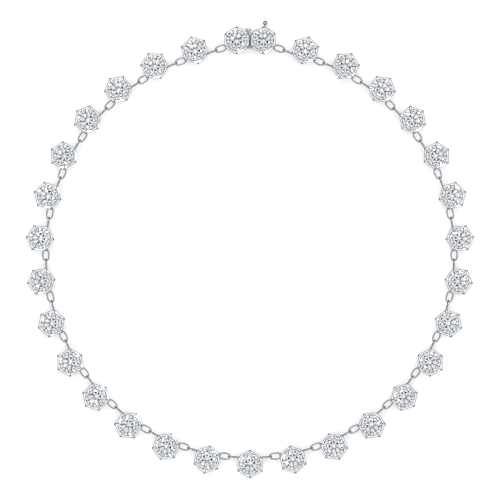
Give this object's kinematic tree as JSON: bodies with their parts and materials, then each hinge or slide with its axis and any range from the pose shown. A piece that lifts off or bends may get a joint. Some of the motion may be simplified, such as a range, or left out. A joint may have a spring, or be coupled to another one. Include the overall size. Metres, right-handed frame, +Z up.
{
  "type": "riviere necklace",
  "caption": "Closed necklace of round brilliants in six-claw settings joined by soldered links, with a box clasp and a hinged safety catch, lying flat.",
  "frame": {"origin": "centre of the whole necklace's box, on the surface that it lies on", "axes": "+Z up from the surface, +Y towards the clasp, X across the loop"},
  "size_m": [0.1424, 0.1452, 0.0045],
  "materials": {
    "metal": "polished white gold",
    "gem": "clear colourless brilliant-cut stone"
  },
  "bodies": {
    "necklace": {"stones": "gem", "setting_01": "metal", "setting_02": "metal", "setting_03": "metal", "setting_04": "metal", "setting_05": "metal", "setting_06": "metal", "setting_07": "metal", "setting_08": "metal", "setting_09": "metal", "setting_10": "metal", "setting_11": "metal", "setting_12": "metal", "setting_13": "metal", "setting_14": "metal", "setting_15": "metal", "setting_16": "metal", "setting_17": "metal", "setting_18": "metal", "setting_19": "metal", "setting_20": "metal", "setting_21": "metal", "setting_22": "metal", "setting_23": "metal", "setting_24": "metal", "setting_25": "metal", "setting_26": "metal", "setting_27": "metal", "setting_28": "metal", "setting_29": "metal", "clasp_box": "metal", "clasp_tongue": "metal"},
    "catch": {"safety_catch": "metal"}
  },
  "joints": [
    {"name": "safety_catch_hinge", "type": "hinge", "parent": "necklace", "child": "catch", "pos_m": [-0.00076, 0.06972, 0.00122], "axis": [0, 0, 1], "range_deg": [0, 165]}
  ]
}
